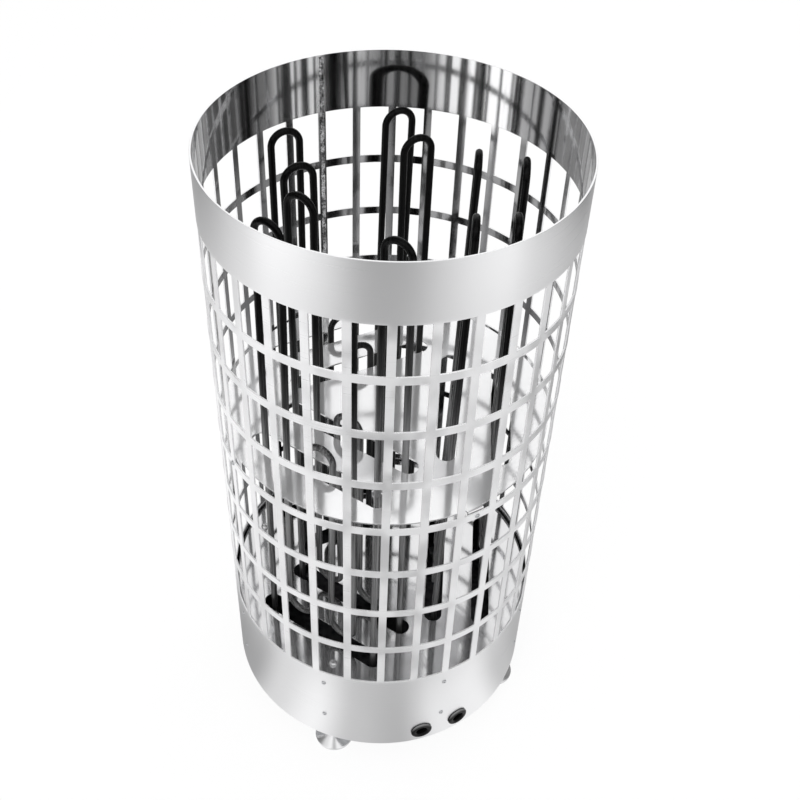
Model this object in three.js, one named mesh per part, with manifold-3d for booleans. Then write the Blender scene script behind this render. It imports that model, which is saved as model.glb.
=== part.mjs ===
// Free-standing round electric sauna heater: a laser-cut steel stone cage on four levelling feet.
// Six tubular elements rise from the base, each one tube bent into two tall loops and a short one.
// Millimetres, +Z up. The origin is on the floor under the cage's axis, and the cables enter at -Y.
import * as THREE from 'three';
import { mergeVertices } from 'three/addons/utils/BufferGeometryUtils.js';
import Module from 'manifold-3d';

const wasm = await Module();
wasm.setup();

// Gap left between pieces that touch
const GAP = 0.3;

// Cage: one rolled sheet with rows of rectangular windows between two plain bands
const CAGE_R = 200;
const CAGE_H = 790;
const CAGE_FLOOR_GAP = 35;
const SHEET = 2;
const TOP_BAND_H = 70;
const WINDOW_ROWS = 8;
const WINDOW_H = 63;
const CROSS_BAR_H = 10;
const UPRIGHTS = 30;
const UPRIGHT_W = 9.2;
const CAGE_BOTTOM = CAGE_FLOOR_GAP;
const CAGE_TOP = CAGE_BOTTOM + CAGE_H;
const CAGE_INNER_R = CAGE_R - SHEET;
const COLUMN_TURN = 360 / UPRIGHTS;
// The sheet is parted on every second upright, the welded one among them
const STAVES = 15;
const STAVE_TURN = 360 / STAVES;
const WINDOWS_TOP = CAGE_TOP - TOP_BAND_H;
const WINDOWS_BOTTOM = WINDOWS_TOP - WINDOW_ROWS * WINDOW_H - (WINDOW_ROWS - 1) * CROSS_BAR_H;

// Plates inside the cage, each by the height of its top face
const PLATE_T = 2;
const PLATE_R = 197.3;
const MID_PLATE_R = 193;
const MID_PLATE_TOP = 474.5;
const BASE_PLATE_TOP = 169;
const BASE_FLANGE_H = 26;
const CARRIER_TOP = 98;
const CARRIER_FLANGE_H = 24;
const COVER_TOP = 44;
const COVER_FLANGE_H = 8;

// Lugs that hold the mid plate to the fourth cross bar
const LUGS = 4;
const LUG_W = 20;
const LUG_DROP = 11;
const LUG_R = 197;
const LUG_LAP = 8;

// Elements: three groups of an inner and an outer element, standing in straight rows
const STACK_TURN = 2;
const GROUPS = { left: -60 + STACK_TURN, right: 60 + STACK_TURN, rear: 180 + STACK_TURN };
const ROW_R = { inner: 74.5, outer: 137 };
const TUBE_D = 8;
const TUBE_SIDES = 8;
const BEND_STEPS = { over: 5, under: 4 };
const LOOP_R = 16.5;
const TALL_LOOP_U = 65;
const LOW_BEND_R = 17.5;
const LOW_BEND_U = 32.5;
const TALL_TOP = 778;
const SHORT_TOP = 506;
const LOW_BEND_BOTTOM = 189;
const TERMINAL_U = 80;
const TUBE_END = 86;
const PIN_D = 4;
const PIN_L = 14;
// How far the top of each loop stands off its even place: along the row, outward and up
const STANCE = {
  left: {
    inner: { first: [3.5, 6.5, 0], short: [0, 3.5, 2], last: [-4.5, 1.5, 0.5] },
    outer: { first: [0, 0, 0], short: [-2.5, -3, 0], last: [-6, -6.5, 0.5] },
  },
  right: {
    inner: { first: [0.5, 12, 0], short: [-2.5, 6, 0], last: [-6, 11, 1] },
    outer: { first: [8.5, 0, -1], short: [-2, -3, 0], last: [-12, -10, 1.5] },
  },
  rear: {
    inner: { first: [-10.5, -6, -0.5], short: [-5, -4.5, 3], last: [-1.5, -6, 0] },
    outer: { first: [2, -1.5, 1.5], short: [3, -3.5, 0], last: [6, -7.5, 0] },
  },
};

// Round-ended slots that the elements pass through in both plates
const SLOT_L = 185;
const SLOT_W = 23;

// Glands on the element ends, and the jumper straps and leads under them
const GLAND_AF = 17;
const GLAND_H = 7;
const STRAP_W = 12;
const STRAP_T = 1.5;
const STRAP_END = 8;
const PIN_CLEARANCE = 1.6;
const LEAD_D = 4;
const LEAD_RUN = 24;
const LEAD_SAG = 6;

// Terminal block and earth stud on the bottom cover
const BLOCK = { x: 72, y: 28, z: 19, at: -74 };
const POLES = [-27, -9, 9, 27];
const WELL = { d: 7, depth: 8, row: 7 };
const EARTH = { at: -140, acrossFlats: 10, nutH: 5, studD: 6, studH: 16 };

// Cable grommets in the base band
const GROMMET_TURN = 7.6;
const GROMMET_Z = 57;
const GROMMET_RIM_D = 28.5;
const GROMMET_NECK_D = 19.4;
const GROMMET_BORE_D = 14;
const GROMMET_HOLE_D = 20;
const GROMMET_FRONT = 3.2;
const GROMMET_BACK = -6.5;
const GROMMET_BACK_RIM = 2.5;
const GROMMET_BEVEL = { width: 3, depth: 1.8 };

// Levelling feet, their nuts, and the sleeves that tie the cover to the base plate
const FEET = { front_right: 46, rear_right: 136, rear_left: 226, front_left: 316 };
const FOOT_CIRCLE_R = 176;
const FOOT_D = 52;
const FOOT_EDGE = 1.5;
const FOOT_RIM_H = 4;
const FOOT_CONE = { r: 10, h: 11 };
const FOOT_HUB = { r: 7, from: 14 };
const STUD_D = 8;
const STUD_TOP = 75;
const NUT_AF = 13;
const NUT_H = 6.5;
const SLEEVE_D = 14;
const SLEEVE_BORE_D = 9.4;
const BOLT_D = 6;
const BOLT_HEAD_D = 10.5;
const BOLT_HEAD_H = 4;
const BOLT_EDGE_H = 1.5;
const BOLT_L = 29;
const HOLE_CLEARANCE = { sleeve: 3, tube: 2, bolt: 1.4 };

// Facets round each kind of turned piece
const FACETS = { plate: 40, shell: 26, foot: 14, grommet: 14, sleeve: 8, stud: 8, small: 6, well: 5 };

function material(color, roughness, metalness) {
  return new THREE.MeshStandardMaterial({ color, roughness, metalness });
}

const satinSteel = material(0xc9cacb, 0.32, 1);
const polishedSteel = material(0xb9bbbd, 0.12, 1);
const blackTube = material(0x1c1c1d, 0.6, 0.4);
const zincSteel = material(0xa9abad, 0.35, 1);
const blackRubber = material(0x121212, 0.7, 0);
const ceramic = material(0xe6e1d6, 0.55, 0);
const brass = material(0xb8964f, 0.35, 1);
const silicone = material(0x8c4a3a, 0.6, 0);

const rad = THREE.MathUtils.degToRad;

// Point on a circle: 0 degrees faces the cable side, and turns go toward +X
function polar(turn, r, z) {
  return new THREE.Vector3(r * Math.sin(rad(turn)), -r * Math.cos(rad(turn)), z);
}

// Group whose local +Y points outward and local +X runs along the row
function seat(turn, r, z) {
  const group = new THREE.Group();
  group.position.copy(polar(turn, r, z));
  group.rotation.z = rad(turn + 180);
  return group;
}

// Closed solid from a geometry, for cutting and joining
function solid(geometry) {
  const bare = geometry.clone();
  bare.deleteAttribute('normal');
  bare.deleteAttribute('uv');
  const merged = mergeVertices(bare, 1e-4);
  const vertProperties = new Float32Array(merged.attributes.position.array);
  const triVerts = new Uint32Array(merged.index.array);
  return new wasm.Manifold(new wasm.Mesh({ numProp: 3, vertProperties, triVerts }));
}

// Geometry from a solid
function geometryOf(body) {
  const { vertProperties, triVerts } = body.getMesh();
  const geometry = new THREE.BufferGeometry();
  geometry.setAttribute('position', new THREE.BufferAttribute(vertProperties, 3));
  geometry.setIndex(new THREE.BufferAttribute(triVerts, 1));
  return geometry;
}

function piece(name, geometry, look) {
  const mesh = new THREE.Mesh(geometry, look);
  mesh.name = name;
  return mesh;
}

// Solid or ring of revolution about Z from [radius, height] pairs
function revolve(profile, segments) {
  const points = profile.map(([r, z]) => new THREE.Vector2(r, z));
  return new THREE.LatheGeometry(points, segments).rotateX(Math.PI / 2);
}

// Upright cylinder between two heights
function rod(diameter, bottom, top, segments) {
  return revolve([[0, bottom], [diameter / 2, bottom], [diameter / 2, top], [0, top]], segments);
}

// Upright tube between two heights
function sleeve(outer, bore, bottom, top, segments) {
  const [a, b] = [bore / 2, outer / 2];
  return revolve([[a, bottom], [b, bottom], [b, top], [a, top], [a, bottom]], segments);
}

// Hexagonal prism standing on z = 0, with a round bore where one is given
function hexagon(acrossFlats, height, bore = 0) {
  const shape = new THREE.Shape();
  const corner = acrossFlats / Math.sqrt(3);
  for (let k = 0; k < 6; k += 1) {
    const turn = rad(60 * k);
    if (k === 0) shape.moveTo(corner, 0);
    else shape.lineTo(corner * Math.cos(turn), corner * Math.sin(turn));
  }
  shape.closePath();
  if (bore) shape.holes.push(new THREE.Path().absarc(0, 0, bore / 2, 0, 2 * Math.PI, true));
  return new THREE.ExtrudeGeometry(shape, { depth: height, bevelEnabled: false, curveSegments: 4 });
}

// Outline of a round-ended slot, centred in its row
function slotPath(length, width) {
  const reach = (length - width) / 2;
  const path = new THREE.Shape();
  path.absarc(reach, 0, width / 2, -Math.PI / 2, Math.PI / 2, false);
  path.absarc(-reach, 0, width / 2, Math.PI / 2, 1.5 * Math.PI, false);
  path.closePath();
  return path;
}

// Cutter for every element slot, from below a plate to above it
function slotCutters(top) {
  const depth = 4 * PLATE_T;
  const path = slotPath(SLOT_L, SLOT_W);
  const shape = new THREE.ExtrudeGeometry(path, { depth, bevelEnabled: false, curveSegments: 3 });
  const cutters = [];
  for (const turn of Object.values(GROUPS)) {
    for (const r of Object.values(ROW_R)) {
      const at = seat(turn, r, top - PLATE_T / 2 - depth / 2);
      at.updateMatrix();
      cutters.push(solid(shape.clone().applyMatrix4(at.matrix)));
    }
  }
  return cutters;
}

// Cutter for a round hole through a plate
function holeCutter(turn, r, diameter, top) {
  const at = polar(turn, r, 0);
  return solid(rod(diameter, top - 3 * PLATE_T, top + PLATE_T, FACETS.small).translate(at.x, at.y, 0));
}

function cut(body, cutters) {
  return geometryOf(cutters.reduce((rest, cutter) => rest.subtract(cutter), body));
}

// Disc with a flange turned down round its rim
function flangedDisc(top, flangeH, segments) {
  const under = top - PLATE_T;
  const foot = top - flangeH;
  const inner = PLATE_R - PLATE_T;
  const profile = [[0, under], [inner, under], [inner, foot], [PLATE_R, foot], [PLATE_R, top], [0, top]];
  return solid(revolve(profile, segments));
}

// Tiers of the cage from the bottom edge up; the open ones hold the windows
function cageTiers() {
  const tiers = [{ low: CAGE_BOTTOM, high: WINDOWS_BOTTOM, open: false }];
  for (let row = 0; row < WINDOW_ROWS; row += 1) {
    const low = WINDOWS_BOTTOM + row * (WINDOW_H + CROSS_BAR_H);
    tiers.push({ low, high: low + WINDOW_H, open: true });
    const bar = { low: low + WINDOW_H, high: low + WINDOW_H + CROSS_BAR_H, open: false };
    if (row < WINDOW_ROWS - 1) tiers.push(bar);
  }
  tiers.push({ low: WINDOWS_TOP, high: CAGE_TOP, open: false });
  return tiers;
}

// The sheet as cells round and up it, with faces wherever a cell meets a window or the outside
function cageSheet() {
  const corners = [];
  const quad = (a, b, c, d) => corners.push(a, b, c, a, c, d);
  const outer = (turn, z) => polar(turn, CAGE_R, z);
  const inner = (turn, z) => polar(turn, CAGE_INNER_R, z);
  const half = THREE.MathUtils.radToDeg(UPRIGHT_W / 2 / CAGE_R);
  const tiers = cageTiers();

  const cell = (from, to, tier, topFace, bottomFace) => {
    const { low, high } = tier;
    quad(outer(from, low), outer(to, low), outer(to, high), outer(from, high));
    quad(inner(to, low), inner(from, low), inner(from, high), inner(to, high));
    if (topFace) quad(outer(from, high), outer(to, high), inner(to, high), inner(from, high));
    if (bottomFace) quad(inner(from, low), inner(to, low), outer(to, low), outer(from, low));
  };

  const openAt = (index) => !tiers[index] || tiers[index].open;
  tiers.forEach((tier, index) => {
    const lowest = index === 0;
    const highest = index === tiers.length - 1;
    for (let k = 0; k < UPRIGHTS; k += 1) {
      const left = k * COLUMN_TURN - half;
      const right = k * COLUMN_TURN + half;
      const next = (k + 1) * COLUMN_TURN - half;
      const { low, high } = tier;
      cell(left, right, tier, highest, lowest);
      if (tier.open) {
        quad(inner(left, low), outer(left, low), outer(left, high), inner(left, high));
        quad(outer(right, low), inner(right, low), inner(right, high), outer(right, high));
      } else {
        cell(right, next, tier, openAt(index + 1), openAt(index - 1));
      }
    }
  });
  return new THREE.BufferGeometry().setFromPoints(corners);
}

// Part of the sheet between two of the uprights that it is parted on
function stave(sheet, from) {
  const trim = THREE.MathUtils.radToDeg(GAP / 2 / CAGE_R);
  const [start, end] = [from + trim, from + STAVE_TURN - trim];
  const [inside, outside] = [0.75 * CAGE_R, 1.25 * CAGE_R];
  const wedge = new THREE.Shape([
    polar(start, inside, 0),
    polar(end, inside, 0),
    polar(end, outside, 0),
    polar(start, outside, 0),
  ]);
  const prism = new THREE.ExtrudeGeometry(wedge, { depth: 2 * CAGE_H, bevelEnabled: false });
  return geometryOf(sheet.intersect(solid(prism.translate(0, 0, -CAGE_H / 2))));
}

// Sheet with its two cable holes
function cage() {
  const bore = new THREE.CylinderGeometry(GROMMET_HOLE_D / 2, GROMMET_HOLE_D / 2, 6 * SHEET, FACETS.grommet);
  const cutters = [-GROMMET_TURN, GROMMET_TURN].map((turn) => {
    const at = polar(turn, CAGE_R, GROMMET_Z);
    return solid(bore.clone().rotateZ(rad(turn)).translate(at.x, at.y, at.z));
  });
  return cutters.reduce((rest, cutter) => rest.subtract(cutter), solid(cageSheet()));
}

// Mid plate: a slotted disc with lugs turned down behind a cross bar
function midPlate() {
  const under = MID_PLATE_TOP - PLATE_T;
  let body = solid(rod(2 * MID_PLATE_R, under, MID_PLATE_TOP, FACETS.plate));
  const tab = new THREE.Shape([
    new THREE.Vector2(LUG_R - LUG_LAP, 0),
    new THREE.Vector2(LUG_R - PLATE_T, 0),
    new THREE.Vector2(LUG_R - PLATE_T, PLATE_T - LUG_DROP),
    new THREE.Vector2(LUG_R, PLATE_T - LUG_DROP),
    new THREE.Vector2(LUG_R, PLATE_T),
    new THREE.Vector2(LUG_R - LUG_LAP, PLATE_T),
  ]);
  const lug = new THREE.ExtrudeGeometry(tab, { depth: LUG_W, bevelEnabled: false });
  lug.translate(0, 0, -LUG_W / 2).rotateX(Math.PI / 2).translate(0, 0, under);
  for (let k = 0; k < LUGS; k += 1) {
    const turn = COLUMN_TURN / 2 + (360 / LUGS) * k;
    body = body.add(solid(lug.clone().rotateZ(rad(turn - 90))));
  }
  return cut(body, slotCutters(MID_PLATE_TOP));
}

// Base plate: the slotted floor of the stone space, bolted down above each foot
function basePlate() {
  const top = BASE_PLATE_TOP;
  const bore = BOLT_D + HOLE_CLEARANCE.bolt;
  const bolts = Object.values(FEET).map((turn) => holeCutter(turn, FOOT_CIRCLE_R, bore, top));
  return cut(flangedDisc(top, BASE_FLANGE_H, FACETS.plate), [...slotCutters(top), ...bolts]);
}

// The two ends of each element as turn and radius
function terminals(groupTurn, rowR) {
  const spread = THREE.MathUtils.radToDeg(Math.atan2(TERMINAL_U, rowR));
  const r = Math.hypot(TERMINAL_U, rowR);
  return { a: { turn: groupTurn - spread, r }, b: { turn: groupTurn + spread, r } };
}

// Carrier: the plate that the element ends are clamped to
function carrier() {
  const cutters = [];
  for (const turn of Object.values(FEET)) {
    cutters.push(holeCutter(turn, FOOT_CIRCLE_R, SLEEVE_D + HOLE_CLEARANCE.sleeve, CARRIER_TOP));
  }
  for (const groupTurn of Object.values(GROUPS)) {
    for (const rowR of Object.values(ROW_R)) {
      for (const end of Object.values(terminals(groupTurn, rowR))) {
        cutters.push(holeCutter(end.turn, end.r, TUBE_D + HOLE_CLEARANCE.tube, CARRIER_TOP));
      }
    }
  }
  return cut(flangedDisc(CARRIER_TOP, CARRIER_FLANGE_H, FACETS.shell), cutters);
}

// Bottom cover with a hole for each foot's stud
function bottomCover() {
  const holes = Object.values(FEET).map((turn) => holeCutter(turn, FOOT_CIRCLE_R, SLEEVE_BORE_D, COVER_TOP));
  return cut(flangedDisc(COVER_TOP, COVER_FLANGE_H, FACETS.shell), holes);
}

// Points of a half turn of unit radius, from left to right
function halfTurn(steps) {
  const points = [];
  for (let k = 0; k <= steps; k += 1) {
    const turn = (Math.PI * k) / steps;
    points.push([-Math.cos(turn), Math.sin(turn)]);
  }
  return points;
}

// Centre line of an element in its row: a ring at each end and along each bend
class ElementPath extends THREE.Curve {
  constructor(stance) {
    super();
    this.rings = [];
    this.ring([-TERMINAL_U, 0, TUBE_END], 0, 1);
    this.over(-TALL_LOOP_U, TALL_TOP, stance.first);
    this.under(-LOW_BEND_U);
    this.over(0, SHORT_TOP, stance.short);
    this.under(LOW_BEND_U);
    this.over(TALL_LOOP_U, TALL_TOP, stance.last);
    this.ring([TERMINAL_U, 0, TUBE_END], 0, -1);
  }

  ring(point, alongX, alongZ) {
    this.rings.push({ point: new THREE.Vector3(...point), tangent: new THREE.Vector3(alongX, 0, alongZ) });
  }

  // Half turn over the top, from left to right
  over(x, top, [along, out, up]) {
    for (const [c, s] of halfTurn(BEND_STEPS.over)) {
      this.ring([x + along + LOOP_R * c, out, top + up - LOOP_R + LOOP_R * s], s, -c);
    }
  }

  // Half turn under the bottom, from left to right
  under(x) {
    for (const [c, s] of halfTurn(BEND_STEPS.under)) {
      this.ring([x + LOW_BEND_R * c, 0, LOW_BEND_BOTTOM + LOW_BEND_R - LOW_BEND_R * s], s, c);
    }
  }

  at(t) {
    return this.rings[Math.round(t * (this.rings.length - 1))];
  }

  getUtoTmapping(u) {
    return u;
  }

  getPoint(t, target = new THREE.Vector3()) {
    return target.copy(this.at(t).point);
  }

  getTangent(t, target = new THREE.Vector3()) {
    return target.copy(this.at(t).tangent).normalize();
  }
}

// Regular polygon section for a tube of the given diameter
function tubeSection(diameter, sides) {
  const points = [];
  for (let k = 0; k < sides; k += 1) {
    const turn = (2 * Math.PI * (k + 0.5)) / sides;
    points.push(new THREE.Vector2((diameter / 2) * Math.cos(turn), (diameter / 2) * Math.sin(turn)));
  }
  return new THREE.Shape(points);
}

// Element: the bent tube with a gland and a terminal pin at each end, its pivot at the carrier
function element(stance) {
  const path = new ElementPath(stance);
  const section = tubeSection(TUBE_D, TUBE_SIDES);
  const tube = new THREE.ExtrudeGeometry(section, { steps: path.rings.length - 1, extrudePath: path });
  let body = solid(tube);
  for (const x of [-TERMINAL_U, TERMINAL_U]) {
    const pin = rod(PIN_D, TUBE_END - PIN_L, TUBE_END + PIN_D, FACETS.small);
    body = body.add(solid(pin.translate(x, 0, 0)));
    body = body.add(solid(hexagon(GLAND_AF, GLAND_H).translate(x, 0, CARRIER_TOP + GAP)));
  }
  return geometryOf(body).translate(0, 0, -CARRIER_TOP);
}

// Flat jumper strap between the two terminals at one end of a group
function strap() {
  const reach = (ROW_R.outer - ROW_R.inner) / 2;
  const [w, l] = [STRAP_W / 2, reach + STRAP_END];
  const shape = new THREE.Shape([
    new THREE.Vector2(-w, -l),
    new THREE.Vector2(w, -l),
    new THREE.Vector2(w, l),
    new THREE.Vector2(-w, l),
  ]);
  for (const y of [-reach, reach]) {
    shape.holes.push(new THREE.Path().absarc(0, y, (PIN_D + PIN_CLEARANCE) / 2, 0, 2 * Math.PI, true));
  }
  return new THREE.ExtrudeGeometry(shape, { depth: STRAP_T, bevelEnabled: false, curveSegments: 3 });
}

// Lead from under a strap to a port of the terminal block
function lead(from, to, side) {
  const drop = new THREE.Vector3(from.x, from.y, to.z + LEAD_SAG);
  const near = new THREE.Vector3(to.x, to.y + LEAD_RUN * side, to.z);
  const path = new THREE.CubicBezierCurve3(from, drop, near, to);
  const section = tubeSection(LEAD_D, 5);
  return new THREE.ExtrudeGeometry(section, { steps: 5, extrudePath: path });
}

// Terminal block with a screw well over each pole
function terminalBlock() {
  const base = COVER_TOP + GAP;
  const box = new THREE.BoxGeometry(BLOCK.x, BLOCK.y, BLOCK.z).translate(0, BLOCK.at, base + BLOCK.z / 2);
  const top = base + BLOCK.z;
  const well = rod(WELL.d, top - WELL.depth, top + WELL.depth, FACETS.well);
  const wells = [];
  for (const x of POLES) {
    for (const y of [-WELL.row, WELL.row]) wells.push(solid(well.clone().translate(x, BLOCK.at + y, 0)));
  }
  return cut(solid(box), wells);
}

// Earth stud: a washer-faced hexagon with a threaded end standing up from the cover
function earthStud() {
  const base = COVER_TOP + GAP;
  const nut = solid(hexagon(EARTH.acrossFlats, EARTH.nutH).translate(0, 0, base));
  return geometryOf(nut.add(solid(rod(EARTH.studD, base, base + EARTH.studH, FACETS.stud))));
}

// Grommet: a rubber ring with a rim each side of the sheet, its axis along +Y
function grommet() {
  const [rim, neck, bore] = [GROMMET_RIM_D / 2, GROMMET_NECK_D / 2, GROMMET_BORE_D / 2];
  const behind = -SHEET - 1.1;
  const profile = [
    [bore, GROMMET_BACK],
    [rim - GROMMET_BACK_RIM, GROMMET_BACK],
    [rim - GROMMET_BACK_RIM, behind],
    [neck, behind],
    [neck, GAP],
    [rim, GAP],
    [rim, GROMMET_FRONT - GROMMET_BEVEL.depth],
    [rim - GROMMET_BEVEL.width, GROMMET_FRONT],
    [bore, GROMMET_FRONT],
    [bore, GROMMET_BACK],
  ];
  return revolve(profile, FACETS.grommet).rotateX(-Math.PI / 2);
}

// Foot: a turned disc with a shallow cone, a hub and a stud that screws into the sleeve
function foot() {
  const hub = COVER_TOP - PLATE_T - GAP - NUT_H - GAP;
  const profile = [
    [0, 0],
    [FOOT_D / 2 - FOOT_EDGE, 0],
    [FOOT_D / 2, FOOT_EDGE],
    [FOOT_D / 2, FOOT_RIM_H],
    [FOOT_CONE.r, FOOT_CONE.h],
    [FOOT_HUB.r, FOOT_HUB.from],
    [FOOT_HUB.r, hub],
    [STUD_D / 2, hub],
    [STUD_D / 2, STUD_TOP],
    [0, STUD_TOP],
  ];
  return revolve(profile, FACETS.foot);
}

// Domed bolt that holds the base plate to a sleeve
function baseBolt() {
  const seatZ = BASE_PLATE_TOP + GAP;
  const profile = [
    [0, seatZ - BOLT_L],
    [BOLT_D / 2, seatZ - BOLT_L],
    [BOLT_D / 2, seatZ],
    [BOLT_HEAD_D / 2, seatZ],
    [BOLT_HEAD_D / 2, seatZ + BOLT_EDGE_H],
    [BOLT_HEAD_D / 3, seatZ + BOLT_HEAD_H],
    [0, seatZ + BOLT_HEAD_H],
  ];
  return revolve(profile, FACETS.small);
}

const heater = new THREE.Group();
const sheet = cage();
for (let k = 0; k < STAVES; k += 1) {
  const name = `cage_stave_${String(k + 1).padStart(2, '0')}`;
  heater.add(piece(name, stave(sheet, (k - 0.5) * STAVE_TURN), satinSteel));
}
heater.add(piece('mid_plate', midPlate(), polishedSteel));
heater.add(piece('base_plate', basePlate(), polishedSteel));
heater.add(piece('element_carrier', carrier(), zincSteel));
heater.add(piece('bottom_cover', bottomCover(), zincSteel));

// Elements with their straps and leads, group by group
const strapShape = strap();
const strapTop = TUBE_END - GAP;
const portZ = COVER_TOP + GAP + BLOCK.z / 2;
const ports = {
  left_a: { x: POLES[0], side: 1 },
  left_b: { x: POLES[0], side: -1 },
  right_a: { x: POLES[3], side: -1 },
  right_b: { x: POLES[3], side: 1 },
  rear_a: { x: POLES[2], side: 1 },
  rear_b: { x: POLES[1], side: 1 },
};
for (const [group, turn] of Object.entries(GROUPS)) {
  for (const [row, r] of Object.entries(ROW_R)) {
    const at = seat(turn, r, CARRIER_TOP);
    at.add(piece(`element_${group}_${row}`, element(STANCE[group][row]), blackTube));
    heater.add(at);
  }
  const middle = (ROW_R.inner + ROW_R.outer) / 2;
  for (const [end, where] of Object.entries(terminals(turn, middle))) {
    const at = seat(turn, 0, strapTop - STRAP_T);
    const bar = piece(`strap_${group}_${end}`, strapShape, brass);
    bar.position.set(end === 'a' ? TERMINAL_U : -TERMINAL_U, middle, 0);
    at.add(bar);
    heater.add(at);
    const { x, side } = ports[`${group}_${end}`];
    const from = polar(where.turn, where.r, strapTop - STRAP_T - GAP);
    const to = new THREE.Vector3(x, BLOCK.at + side * (BLOCK.y / 2 + GAP), portZ);
    heater.add(piece(`lead_${group}_${end}`, lead(from, to, side), silicone));
  }
}
heater.add(piece('terminal_block', terminalBlock(), ceramic));
const earth = piece('earth_stud', earthStud(), brass);
earth.position.set(0, EARTH.at, 0);
heater.add(earth);

// Grommets on the cable side
const grommetShape = grommet();
for (const [side, turn] of [['left', -GROMMET_TURN], ['right', GROMMET_TURN]]) {
  const ring = piece(`grommet_${side}`, grommetShape, blackRubber);
  ring.position.copy(polar(turn, CAGE_R, GROMMET_Z));
  ring.rotation.z = rad(turn + 180);
  heater.add(ring);
}

// Feet with their lock nuts, sleeves and base bolts
const footShape = foot();
const nutShape = hexagon(NUT_AF, NUT_H, SLEEVE_BORE_D);
const sleeveTop = BASE_PLATE_TOP - PLATE_T - GAP;
const sleeveShape = sleeve(SLEEVE_D, SLEEVE_BORE_D, COVER_TOP + GAP, sleeveTop, FACETS.sleeve);
const boltShape = baseBolt();
for (const [corner, turn] of Object.entries(FEET)) {
  const at = new THREE.Group();
  at.position.copy(polar(turn, FOOT_CIRCLE_R, 0));
  at.add(piece(`foot_${corner}`, footShape, polishedSteel));
  const nut = piece(`foot_nut_${corner}`, nutShape, zincSteel);
  nut.position.z = COVER_TOP - PLATE_T - GAP - NUT_H;
  at.add(nut);
  at.add(piece(`foot_sleeve_${corner}`, sleeveShape, zincSteel));
  at.add(piece(`base_bolt_${corner}`, boltShape, polishedSteel));
  heater.add(at);
}

export default heater;
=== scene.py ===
"""Looks of a round electric sauna heater: rolled steel cage, bent elements, plates and feet."""
import math

import bmesh
import bpy
from mathutils import Matrix, Vector, noise


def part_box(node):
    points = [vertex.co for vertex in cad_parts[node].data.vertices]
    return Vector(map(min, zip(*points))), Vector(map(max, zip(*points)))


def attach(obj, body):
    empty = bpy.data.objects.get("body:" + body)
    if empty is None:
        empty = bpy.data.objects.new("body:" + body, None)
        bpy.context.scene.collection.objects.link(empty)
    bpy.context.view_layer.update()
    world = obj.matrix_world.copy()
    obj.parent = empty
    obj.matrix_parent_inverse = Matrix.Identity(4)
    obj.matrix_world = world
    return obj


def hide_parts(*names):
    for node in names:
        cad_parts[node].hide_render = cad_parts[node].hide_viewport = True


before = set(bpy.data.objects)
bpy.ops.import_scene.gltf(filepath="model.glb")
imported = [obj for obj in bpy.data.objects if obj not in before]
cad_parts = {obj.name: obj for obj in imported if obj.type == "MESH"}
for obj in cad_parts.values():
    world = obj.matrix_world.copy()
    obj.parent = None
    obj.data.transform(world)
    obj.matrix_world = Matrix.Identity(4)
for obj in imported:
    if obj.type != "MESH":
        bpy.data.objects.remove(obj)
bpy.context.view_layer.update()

# Sizes in metres, angles in degrees; 0 degrees faces the cable side and turns go toward +X
# Clearance between parts, and how far edges are eased
GAP = 0.0003
EASE, THIN_EASE = 0.0003, 0.0002

CAGE_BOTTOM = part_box("cage_stave_01")[0].z
CAGE_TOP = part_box("cage_stave_01")[1].z
CAGE_R = 0.200
SHEET = 0.002
TOP_BAND = 0.070
WINDOW_ROWS, WINDOW_H, CROSS_BAR_H = 8, 0.063, 0.010
UPRIGHTS, UPRIGHT_W = 30, 0.0092
COLUMN_TURN = 360 / UPRIGHTS
SEAM_TURN = 180

MID_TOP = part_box("mid_plate")[1].z
BASE_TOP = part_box("base_plate")[1].z
CARRIER_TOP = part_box("element_carrier")[1].z
COVER_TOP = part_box("bottom_cover")[1].z
COVER_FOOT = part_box("bottom_cover")[0].z
PLATE_T = 0.002
PLATE_R = 0.1973
PLATE_BEND = 0.003
BASE_FLANGE_H = 0.026
MID_PLATE_R = 0.193
LUG_R, LUG_W, LUG_DROP, LUG_BEND = 0.197, 0.020, 0.011, 0.0012
SLOT_L, SLOT_W = 0.185, 0.023

GROUPS = {"left": -58, "right": 62, "rear": 182}
ROW_R = {"inner": 0.0745, "outer": 0.137}
TUBE_R = 0.004
LOOP_R, TALL_U, TERMINAL_U = 0.0165, 0.065, 0.080
LOW_R, LOW_U = 0.0175, 0.0325
TALL_TOP, SHORT_TOP, LOW_BOTTOM = 0.778, 0.506, 0.189
TUBE_END, PIN_R, PIN_L, PIN_SINK = 0.086, 0.002, 0.014, 0.002
GLAND_AF, GLAND_H = 0.017, 0.007
END_CHAMFER = 0.001
# How far the first, short and last loop of each element stand off: along the row, outward and up,
# fitted to the photograph and rounded to half a millimetre
STANCE = {
    "left": {
        "inner": ((0.0035, 0.0065, 0), (0, 0.0035, 0.002), (-0.0045, 0.0015, 0.0005)),
        "outer": ((0, 0, 0), (-0.0025, -0.003, 0), (-0.006, -0.0065, 0.0005)),
    },
    "right": {
        "inner": ((0.0005, 0.012, 0), (-0.0025, 0.006, 0), (-0.006, 0.011, 0.001)),
        "outer": ((0.0085, 0, -0.001), (-0.002, -0.003, 0), (-0.012, -0.01, 0.0015)),
    },
    "rear": {
        "inner": ((-0.0105, -0.006, -0.0005), (-0.005, -0.0045, 0.003), (-0.0015, -0.006, 0)),
        "outer": ((0.002, -0.0015, 0.0015), (0.003, -0.0035, 0), (0.006, -0.0075, 0)),
    },
}

FEET = {"front_right": 46, "rear_right": 136, "rear_left": 226, "front_left": 316}
FOOT_CIRCLE_R = 0.176
FOOT_R = 0.026
FOOT_LOW_EDGE, FOOT_TOP_EDGE, FOOT_BRIM = 0.0015, 0.0012, 0.0028
HUB_R, HUB_CHAMFER = 0.007, 0.0008
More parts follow.
